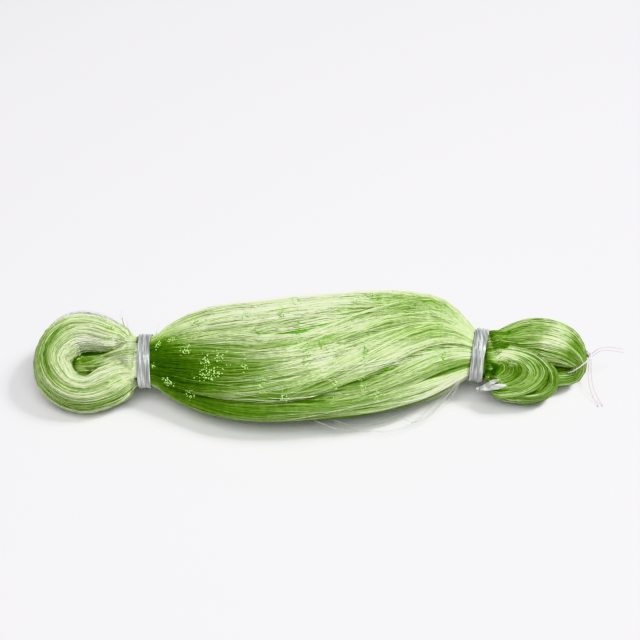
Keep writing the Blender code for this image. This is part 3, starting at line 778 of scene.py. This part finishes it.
def whorl(count, points=26):
    """Strands wound round the curl's middle and laid on its open face."""
    middle, across, up, out = (np.array(v) for v in (WHORL_MIDDLE, WHORL_ACROSS, WHORL_UP, WHORL_OUT))
    r = (np.arange(count) + rng.uniform(0, 1, count)) / count
    wide, high = 3.4 + 37.0 * r, 2.6 + 18.0 * r
    shift_x, shift_y = 9.5 * r, -5.6 * r
    reach = np.degrees(np.arccos(-np.clip((1.0 + shift_x) / wide, 0, 0.9)))
    turn = np.linspace(1, -1, points)[None, :] * reach[:, None]
    t = np.radians(turn)
    wobble = rng.uniform(0.1, 0.5, count)[:, None] * ripple(turn, rng.uniform(60, 160, count)[:, None], rng.uniform(0, 6.3, count)[:, None])
    a = shift_x[:, None] + (wide[:, None] + wobble) * np.cos(t)
    b = shift_y[:, None] + (high[:, None] + 0.5 * wobble) * np.sin(t)
    above = middle + a[..., None] * across + b[..., None] * up + 90.0 * out
    deep = np.full(a.shape, np.nan)
    for i in range(count):
        for j in range(points):
            spot, _, _, _ = surface.ray_cast(Vector(above[i, j]) * MM, Vector(-out))
            if spot is not None:
                deep[i, j] = np.dot(np.array(spot) / MM - above[i, j], -out)
    usual = np.nanmedian(deep, axis=1, keepdims=True)
    deep = np.where(np.isnan(deep), usual, deep)
    deep = np.clip(deep, usual - 9.0, usual + 7.0)
    # the face is a smooth dome: strands bridge the hollow in the curl's middle
    flat_a, flat_b = a.ravel() / 30, b.ravel() / 30
    terms = np.stack([np.ones_like(flat_a), flat_a, flat_b, flat_a**2, flat_a * flat_b, flat_b**2], -1)
    dome = (terms @ np.linalg.lstsq(terms, deep.ravel(), rcond=None)[0]).reshape(deep.shape)
    deep = np.minimum(deep, dome + 0.3)
    for _ in range(8):
        deep[:, 1:-1] = (deep[:, :-2] + 2 * deep[:, 1:-1] + deep[:, 2:]) / 4
    lines = above - (deep - rng.uniform(-0.6, 0.7, count)[:, None])[..., None] * out
    first, last = lines[:, :1].copy(), lines[:, -1:].copy()
    first[..., 0] = last[..., 0] = 148.6
    lines = held_by_neck(np.concatenate([first, lines, last], axis=1), "right", count)
    turn = np.concatenate([turn[:, :1], turn, turn[:, -1:]], axis=1)
    # Painted highlight across the upper arcs, painted light on the outer rim, and painted shade in the whorl's middle
    # and next to the tie.
    lit = np.exp(-(((turn - 74) / 24) ** 2)) * (0.10 + 0.34 * ease((r - 0.16) / 0.2) * (1 - 0.6 * ease((r - 0.75) / 0.2)))[:, None]
    rim = (ease((r - 0.80) / 0.15))[:, None] * ease((-turn - 20) / 60)
    shade = 0.25 + 0.15 * clump(r * 60, 2.2, 33)[:, None] + 0.9 * streaks(count)[:, None] + lit + 0.20 * rim
    shade = shade - (0.40 * (1 - ease((r - 0.05) / 0.16)))[:, None]
    shade = shade - 0.18 * (1 - ease((lines[..., 0] - 151) / 11))
    return lines, rng.uniform(0.17, 0.30, count), shade, WHORL_OUT


tubes("left_bight_strands", [bight_batch(left, 880, 33, (0, 360), (0.0, 1.4), (0.17, 0.32), 20, left_painted_shading, 0.04, seed=5, side="left")], net_look)
tubes("tall_bight_strands", [bight_batch(tall, 660, 34, (0, 360), (0.0, 1.4), (0.17, 0.32), 30, tall_painted_shading, -0.15, seed=7, side="right_top")], net_look)
tubes(
    "curl_strands",
    [
        bight_batch(curl, 460, 24, (0, 360), (0.0, 1.2), (0.17, 0.32), 10, curl_painted_shading, -0.34, seed=8),
        whorl(300),
        bight_batch(band, 300, 25, (0, 360), (0.0, 1.2), (0.17, 0.32), 0, band_tone, -0.22, seed=9),
    ],
    net_look,
)

# ------------------------------------------------------------------ what lies on the surface

def laid(points, lift):
    """Points in mm moved onto the net's surface, lift above it."""
    out = np.empty_like(points)
    for i, p in enumerate(points):
        spot, normal, _, _ = surface.find_nearest(Vector(p) * MM)
        out[i] = np.array(spot) / MM + np.array(normal) * lift
    return out


def fan(count, points=14):
    """Strands that spread from the left tie over the eye's floor and under its lower rim."""
    t = (np.arange(count) + rng.uniform(0, 1, count)) / count
    a = np.radians(106 - 88 * t)
    start = np.stack([np.full(count, -140.0), 0.3 - 21.6 * np.cos(a), 40 + 18.7 * np.sin(a)], -1)
    end = np.stack([-195 + 21 * t, 4 - 27 * t, 34 + 6 * t], -1) + rng.normal(0, 1.2, (count, 3))
    u = np.linspace(0, 1, points)
    lines = start[:, None] + (end - start)[:, None] * u[None, :, None]
    lines[..., 1] -= (4 * np.sin(np.pi * u) ** 1.0)[None, :] * (0.3 + 0.7 * t)[:, None]
    flat = laid(lines.reshape(-1, 3), -0.4).reshape(lines.shape)
    flat[:, 0] = start
    for _ in range(5):
        flat[:, 1:-1] = (flat[:, :-2] + 2 * flat[:, 1:-1] + flat[:, 2:]) / 4
    flat[:, -3:, 2] -= np.array([0.6, 1.6, 3.0])
    # The fan grows darker into the eye, painted shade under its rim; a few strands carry a thin painted shade line from
    # the slot towards the tie.
    shade = 0.66 + 0.14 * clump(t * 60, 3.0, 21)[:, None] + streaks(count)[:, None] - 0.50 * ease((u[None, :] - 0.40) / 0.6) * (1 - 0.5 * t)[:, None]
    shade = shade - 0.45 * ((t > 0.27) & (t < 0.31))[:, None] * ease((u[None, :] - 0.02) / 0.1)
    return flat, rng.uniform(0.16, 0.28, count), shade, (0, 0, 1)


tubes("left_eye_strands", [bight_batch(floor, 380, 14, (0, 180), (0.0, 1.0), (0.17, 0.30), 0, eye_floor_painted_shade, 0.06, seed=6, side="left"), fan(260)], net_look)

# Small groups of netting knots.  Places are on the net's surface; along and across are
# how far the group reaches.
KNOT_COLUMNS = ("x", "y", "z", "along", "across", "count")
KNOT_GROUPS = (
    (-126.2, 0.7, 60.8, 3, 5, 9),
    (-129.5, -15.8, 53.0, 2, 5, 10),
    (-116.4, -26.7, 45.8, 5, 5, 18),
    (-115.3, 3.5, 64.0, 4, 3, 6),
    (-101.9, -9.3, 66.6, 4, 7, 18),
    (-98.0, -35.8, 39.9, 5, 6, 16),
    (-84.5, -23.4, 68.3, 5, 6, 16),
    (-77.7, -31.5, 65.4, 7, 7, 24),
    (-85.3, -32.3, 61.1, 8, 5, 20),
    (-72.0, -21.5, 72.6, 6, 6, 14),
    (-51.2, -31.2, 73.0, 3, 5, 9),
    (-91.6, 19.0, 68.9, 8, 5, 16),
    (-51.1, 20.0, 75.6, 4, 4, 9),
    (-42.1, 1.5, 79.5, 6, 4, 15),
    (-22.6, 18.9, 78.2, 4, 5, 15),
    (-8.1, -1.9, 83.7, 2, 9, 18),
    (-0.6, -25.3, 77.3, 4, 7, 16),
    (14.1, -18.8, 78.4, 6, 6, 14),
    (53.8, 40.0, 79.3, 5, 3, 12),
    (60.5, 34.4, 79.3, 3, 7, 15),
    (39.4, 33.7, 80.1, 4, 3, 7),
    (46.7, -24.1, 78.4, 3, 10, 20),
    (22.2, -43.8, 63.9, 3, 8, 15),
    (44.4, -42.8, 58.6, 3, 9, 17),
    (57.6, -44.9, 52.0, 5, 6, 11),
    (115.5, -13.5, 58.5, 3, 7, 13),
    (110.3, 13.7, 71.4, 5, 5, 9),
    (-37.3, -43.7, 63.8, 4, 7, 12),
    (-18.6, -52.5, 55.2, 5, 8, 15),
    (-168.0, 9.5, 60.6, 3, 6, 22),
    (-166.6, 16.4, 64.4, 4, 4, 14),
    (-192.4, 6.9, 37.0, 5, 3, 10),
    (-185.2, 2.6, 37.0, 5, 3, 8),
    (-154.5, -7.2, 47.9, 3, 5, 15),
    (-157.4, -13.1, 47.3, 3, 3, 9),
    (-203.0, 3.0, 52.0, 3, 4, 6),
    (163.3, 13.0, 54.4, 7, 5, 20),
    (214.6, 16.9, 55.6, 4, 4, 8),
    (169.1, -8.6, 41.5, 3, 4, 10),
    (172.9, -11.1, 35.2, 3, 4, 9),
    (175.1, -23.4, 36.1, 4, 3, 8),
    (184.3, -26.2, 34.1, 4, 3, 9),
    (151.8, -16.0, 38.0, 3, 3, 8),
)


def knots(name, groups, look):
    """Little lumpy knots, each an uneven twenty-sided bead."""
    phi = (1 + 5**0.5) / 2
    ball = np.array([(-1, phi, 0), (1, phi, 0), (-1, -phi, 0), (1, -phi, 0), (0, -1, phi), (0, 1, phi), (0, -1, -phi), (0, 1, -phi), (phi, 0, -1), (phi, 0, 1), (-phi, 0, -1), (-phi, 0, 1)])
    ball /= np.linalg.norm(ball[0])
    faces = np.array([(0, 11, 5), (0, 5, 1), (0, 1, 7), (0, 7, 10), (0, 10, 11), (1, 5, 9), (5, 11, 4), (11, 10, 2), (10, 7, 6), (7, 1, 8), (3, 9, 4), (3, 4, 2), (3, 2, 6), (3, 6, 8), (3, 8, 9), (4, 9, 5), (2, 4, 11), (6, 2, 10), (8, 6, 7), (9, 8, 1)])
    points, cells, tone = [], [], []
    for row in groups:
        g = dict(zip(KNOT_COLUMNS, row))
        number = int(1.8 * g["count"])
        spread = rng.normal(0, 0.55, (number, 3)) * np.array([g["along"], g["across"], g["across"]])
        if -132 < g["x"] < 140:
            row_values = cubic(BODY_X, BODY_VALUES, np.array([g["x"]]))[0]
            middle = np.degrees(np.arctan2((g["z"] - row_values[1]) / row_values[3], -(g["y"] - row_values[0]) / row_values[2]))
            px = g["x"] + spread[:, 0]
            pa = middle + np.degrees(spread[:, 1] / 45.0)
            places = body_point(px, pa, relief(px, pa) - 0.45)
        else:
            places = laid(np.array([g["x"], g["y"], g["z"]]) + spread, -0.7)
        for place in places[places[:, 2] > 1.2]:
            size = rng.uniform(0.42, 0.70) * np.array([rng.uniform(0.9, 1.4), rng.uniform(0.7, 1.1), rng.uniform(0.7, 1.1)])
            lumps = ball * (1 + rng.normal(0, 0.12, (12, 1))) * size
            turn = rng.uniform(0, 2 * np.pi)
            c, s_ = np.cos(turn), np.sin(turn)
            lumps = lumps @ np.array([(c, s_, 0), (-s_, c, 0), (0, 0, 1)])
            cells.append(faces + 12 * len(points))
            points.append(place + lumps)
            x = place[0]
            here = 0.9
            if -140 < x < 150:
                angle = np.degrees(np.arctan2((place[2] - 40) / 40, -(place[1] - 4) / 50))
                # Knots are set paler where the body's tone map, with its painted shade, is dark.
                dark = float(packing_and_painted_light(np.array([x]), np.array([angle]))[0])
                here = 0.52 if dark < -0.22 else 0.20
            elif x < -180 or x > 150:
                here = 0.50
            else:
                here = 0.22
            tone.append(np.full(12, here + rng.normal(0, 0.07)))
    thing = mesh_object(name, np.concatenate(points) * MM, [np.concatenate(cells)], np.concatenate(tone))
    thing.data.materials.append(look)
    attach(thing, "root")
    return thing


knots("netting_knots", KNOT_GROUPS, knot_look)
hidden = []
for _ in range(26):
    x = rng.uniform(-115, 120)
    angle = rng.uniform(125, 265)
    p = body_point(np.array([x]), np.array([angle]), np.array([0.0]))[0]
    hidden.append((p[0], p[1], max(p[2], 3.0), rng.uniform(3, 7), rng.uniform(4, 8), rng.integers(8, 18)))
for middle in ((-205, 36, 40), (-185, 44, 42), (-216, 24, 44), (200, 40, 42), (215, 34, 50)):
    hidden.append((*middle, 4, 5, 12))
knots("netting_knots_back", hidden, knot_look)


# ------------------------------------------------------------------ loose strands
def swept(route, count, spread, radius, tone, points=18, ends=(1.0, 1.0)):
    """count strands along one route, fanned out by spread mm."""
    route = np.array(route, float)
    steps = np.linalg.norm(np.diff(route, axis=0), axis=1)
    at = np.concatenate([[0], np.cumsum(steps)])
    u = np.linspace(0, 1, points)
    centre = cubic(at, route, u * at[-1])
    drift = rng.normal(0, 1, (count, 1, 3)) * spread * (ends[0] + (ends[1] - ends[0]) * u)[None, :, None]
    wave = rng.normal(0, 0.5, (count, 1, 3)) * spread * np.sin(np.pi * u * 2)[None, :, None]
    lines = centre[None] + drift + wave
    shade = tone + rng.normal(0, 0.08, count)[:, None] + 0 * u[None, :]
    return lines, rng.uniform(radius[0], radius[1], count), shade, (0, 0, 1)


STRAYS = {
    "below_long": ((5, -55, 30), (25, -52, 14), (47, -50, 8), (68, -50, 7), (87, -44, 9), (105, -30, 16), (124, -16, 26)),
    "below_loop": ((20, -53, 28), (40, -48, 12), (61, -43, 9), (81, -36, 14), (96, -30, 24)),
    "below_right": ((126, -18, 34), (112, -30, 20), (100, -38, 12), (90, -41, 9), (82, -40, 12)),
    "below_short": ((128, -17, 36), (118, -30, 24), (108, -36, 16)),
}
LOBE_STRAYS = {
    "outer": ((-228, -4, 46), (-225, 12, 53), (-214, 29, 58), (-199, 38.5, 58), (-180, 37, 57), (-164, 29, 56), (-150, 14, 54)),
    "middle": ((-221, 4, 57), (-211, 23, 62), (-197, 33, 63), (-180, 33, 62), (-166, 26, 60)),
}
SPROUTS = {
    "a": ((-157, 26, 54), (-158.5, 33, 58), (-159.5, 40, 61)),
    "b": ((-156, 26, 55), (-158, 31, 60), (-161, 35, 63)),
    "c": ((-151, 19, 54), (-153, 25, 59), (-154.5, 30, 62)),
    "d": ((-129, 14, 58), (-126.5, 18, 62), (-125, 22, 65)),
}
loose = [flyaways(150, (-10, 150), 2.4), flyaways(60, (150, 260), 2.0)]
tubes("loose_strands", loose, net_look)
clear = []
for route, count, spread in zip(STRAYS.values(), (7, 5, 9, 6), (1.6, 1.4, 1.9, 1.5)):
    clear.append(swept(route, count, spread, (0.07, 0.12), 0.22, 20, (0.3, 1.0)))
for route, count in zip(LOBE_STRAYS.values(), (34, 30)):
    clear.append(swept(route, count, 1.2, (0.10, 0.16), 0.62, 22, (0.8, 0.8)))
for route in SPROUTS.values():
    clear.append(swept(route, 4, 0.6, (0.10, 0.16), 0.15, 6, (0.3, 1.2)))
tubes("clear_loose_strands", clear, clear_look)

# ------------------------------------------------------------------ the core, its dark green painted shade for the hank's inside
core_mesh = cad.data.copy()
core = bpy.data.objects.new("net_core", core_mesh)
bpy.context.scene.collection.objects.link(core)
core_mesh.materials.clear()
core_mesh.materials.append(shaded_core_look)
count = len(core_mesh.vertices)
co = np.empty(count * 3, dtype=np.float32)
core_mesh.vertices.foreach_get("co", co)
normals = np.empty(count * 3, dtype=np.float32)
core_mesh.vertices.foreach_get("normal", normals)
co, normals = co.reshape(-1, 3), normals.reshape(-1, 3)
co = co - normals * 0.0042
co[:, 2] = np.maximum(co[:, 2], 0.0006)
core_mesh.vertices.foreach_set("co", co.ravel())
core_mesh.update()
core_mesh.shade_smooth()
layer = core_mesh.attributes.new("tone", "FLOAT", "POINT")
layer.data.foreach_set("value", np.full(count, 0.4, dtype=np.float32))
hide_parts("net_hank")
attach(core, "root")

# ------------------------------------------------------------------ the ribbons
def ribbon_band(name, x, width, node_name, phase):
    """A flat ribbon wrapped round a neck and gathered into lengthwise folds."""
    y, z, wide, high, yaw = cubic(BODY_X, BODY_VALUES, np.array([x]))[0]
    turn = math.radians(yaw)
    along = np.array([math.cos(turn), math.sin(turn), 0])
    across = np.array([-math.sin(turn), math.cos(turn), 0])
    sides, columns = 168, 27
    a = np.linspace(0, 2 * np.pi, sides, endpoint=False)[:, None]
    t = np.linspace(-1, 1, columns)[None, :]
    fold = 0.34 * np.sin(2 * np.pi * (1.55 * t + 0.22 * np.sin(a + phase)) + phase)
    fold = fold + 0.16 * np.sin(2 * np.pi * (3.3 * t + 0.35 * np.sin(2 * a + phase)) + 1.7 * phase)
    fold = fold + 0.07 * np.sin(2 * np.pi * (6.1 * t + 0.3 * np.cos(3 * a)) + phase)
    reach = width / 2 * (1 + 0.035 * np.sin(3 * a + phase) + 0.02 * np.sin(7 * a))
    shift = t * reach + 0.25 * np.sin(2 * a + phase)
    sheets = []
    for grow in (1.40 + fold * (1 - 0.5 * t**6), 0.82 + 0.0 * fold):
        p = (
            np.array([x, y, z])
            + along * shift[..., None]
            - across * ((wide + grow) * np.cos(a))[..., None]
            + np.array([0, 0, 1]) * ((high + grow) * np.sin(a))[..., None]
        )
        sheets.append(p)
    points = np.stack(sheets)
    index = np.arange(points[..., 0].size).reshape(2, sides, columns)
    after = np.roll(index, -1, axis=1)
    outer = np.stack([index[0, :, :-1], after[0, :, :-1], after[0, :, 1:], index[0, :, 1:]], -1).reshape(-1, 4)[:, ::-1]
    inner = np.stack([index[1, :, :-1], after[1, :, :-1], after[1, :, 1:], index[1, :, 1:]], -1).reshape(-1, 4)
    edge_a = np.stack([index[0, :, 0], after[0, :, 0], after[1, :, 0], index[1, :, 0]], -1)
    edge_b = np.stack([index[1, :, -1], after[1, :, -1], after[0, :, -1], index[0, :, -1]], -1)
    thing = mesh_object(name, points.reshape(-1, 3) * MM, [outer, inner, edge_a, edge_b])
    thing.data.materials.append(ribbon_look)
    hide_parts(node_name)
    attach(thing, "root")
    return thing


ribbon_band("left_ribbon", LEFT_TIE_X, LEFT_TIE_WIDTH, "left_tie", 0.7)
ribbon_band("right_ribbon", RIGHT_TIE_X, RIGHT_TIE_WIDTH, "right_tie", 2.3)

TAIL_COLUMNS = ("x", "y", "z", "width", "lean")
TONGUES = {
    "short": ((144.6, -19.2, 27.6, 2.0, 58), (149.0, -20.9, 33.2, 3.0, 54), (153.5, -21.8, 38.6, 4.2, 50), (158.0, -22.6, 42.6, 2.2, 46), (159.6, -22.8, 43.8, 0.5, 44)),
    "long": ((144.6, -20.6, 26.8, 2.2, 60), (149.5, -22.8, 31.6, 3.6, 56), (155.0, -24.6, 35.6, 4.6, 52), (160.5, -25.6, 38.6, 4.2, 48), (165.6, -26.2, 40.6, 0.7, 45)),
}


def tail_strips():
    points, faces, base = [], [], 0
    for table in TONGUES.values():
        rows = np.array(table, float)
        x = np.linspace(rows[0, 0], rows[-1, 0], 22)
        v = cubic(rows[:, 0], rows[:, 1:], x)
        lean = np.radians(v[:, 3])
        wide = np.stack([0 * x, np.cos(lean), np.sin(lean)], -1)
        face = np.stack([0 * x, -np.sin(lean), np.cos(lean)], -1)
        t = np.linspace(-1, 1, 11)
        crease = 0.16 * np.cos(np.pi * 1.5 * t)[None, :] * np.maximum(v[:, 2], 0.5)[:, None] * 0.5
        middle = np.stack([x, v[:, 0], v[:, 1]], -1)[:, None] + wide[:, None] * (t[None, :, None] * v[:, 2][:, None, None] / 2) + face[:, None] * crease[..., None]
        top = middle + face[:, None] * 0.14
        low = middle - face[:, None] * 0.14
        ring = np.concatenate([top, low[:, ::-1]], axis=1)
        n, m = ring.shape[:2]
        index = base + np.arange(n * m).reshape(n, m)
        after = np.roll(index, -1, axis=1)
        faces.append(np.stack([index[:-1], after[:-1], after[1:], index[1:]], -1).reshape(-1, 4)[:, ::-1])
        for end, flip in ((index[0], False), (index[-1], True)):
            strip = np.stack([end[:10], end[1:11], end[::-1][1:11], end[::-1][:10]], -1)
            faces.append(strip if not flip else strip[:, ::-1])
        points.append(ring.reshape(-1, 3))
        base += n * m
    thing = mesh_object("right_ribbon_tail", np.concatenate(points) * MM, faces)
    thing.data.materials.append(tail_look)
    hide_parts("right_tie_tail")
    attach(thing, "root")
    return thing


tail_piece = tail_strips()


def wound_knot(name, centre, radii, thickness, look, node_name):
    """A tied knot: one closed strand that goes over and under itself."""
    count, sides = 96, 10
    t = np.linspace(0, 2 * np.pi, count, endpoint=False)
    core_line = np.stack([np.sin(t) + 2 * np.sin(2 * t), np.cos(t) - 2 * np.cos(2 * t), -1.35 * np.sin(3 * t)], -1)
    core_line /= np.array([3.0, 3.0, 1.35])
    core_line = core_line * (np.array(radii) - thickness)
    along = np.roll(core_line, -1, axis=0) - np.roll(core_line, 1, axis=0)
    along /= np.linalg.norm(along, axis=1, keepdims=True)
    side = np.cross(along, [0.0, 0.0, 1.0])
    side /= np.linalg.norm(side, axis=1, keepdims=True)
    up = np.cross(side, along)
    b = np.linspace(0, 2 * np.pi, sides, endpoint=False)
    ring = core_line[:, None] + thickness * (side[:, None] * np.cos(b)[None, :, None] + up[:, None] * np.sin(b)[None, :, None])
    index = np.arange(count * sides).reshape(count, sides)
    nxt = np.roll(index, -1, axis=0)
    faces = np.stack([index, np.roll(index, -1, axis=1), np.roll(nxt, -1, axis=1), nxt], -1).reshape(-1, 4)
    thing = mesh_object(name, (ring.reshape(-1, 3) + np.array(centre)) * MM, [faces])
    thing.data.materials.append(look)
    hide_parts(node_name)
    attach(thing, "root")
    return thing


wound_knot("string_tied_knot", (241.6, 17.4, 26.2), (2.1, 2.1, 2.5), 0.62, string_look, "string_knot")
wound_knot("ribbon_knot", (143.4, -19.6, 26.0), (2.2, 1.9, 2.3), 0.80, ribbon_look, "right_tie_knot")

# ------------------------------------------------------------------ floor, light and view transform
floor_mesh = bpy.data.meshes.new("table_top")
floor_mesh.from_pydata([(-6, -4, 0), (6, -4, 0), (6, 8, 0), (-6, 8, 0)], [], [(0, 1, 2, 3)])
table_top = bpy.data.objects.new("table_top", floor_mesh)
bpy.context.scene.collection.objects.link(table_top)
pale, _, pale_bsdf = shader("pale_surface")
pale_bsdf.inputs["Base Color"].default_value = (0.855, 0.838, 0.860, 1.0)
pale_bsdf.inputs["Roughness"].default_value = 0.7
floor_mesh.materials.append(pale)

world = bpy.data.worlds.new("studio")
bpy.context.scene.world = world
world.use_nodes = True
world.node_tree.nodes["Background"].inputs["Color"].default_value = (0.97, 0.98, 1.0, 1.0)
world.node_tree.nodes["Background"].inputs["Strength"].default_value = 0.48


def softbox(name, place, target, size, power, colour=(1, 1, 1)):
    data = bpy.data.lights.new(name, "AREA")
    data.shape = "RECTANGLE"
    data.size, data.size_y = size
    data.energy = power
    data.color = colour
    lamp = bpy.data.objects.new(name, data)
    lamp.location = place
    lamp.rotation_euler = (Vector(target) - Vector(place)).to_track_quat("-Z", "Y").to_euler()
    bpy.context.scene.collection.objects.link(lamp)


softbox("key", (0.82, -0.06, 1.46), (0.0, 0.0, 0.03), (0.42, 0.42), 25)
softbox("front", (-0.05, -0.58, 1.32), (0.0, 0.0, 0.03), (1.00, 0.50), 12)

scene = bpy.context.scene
scene.view_settings.view_transform = "Khronos PBR Neutral"
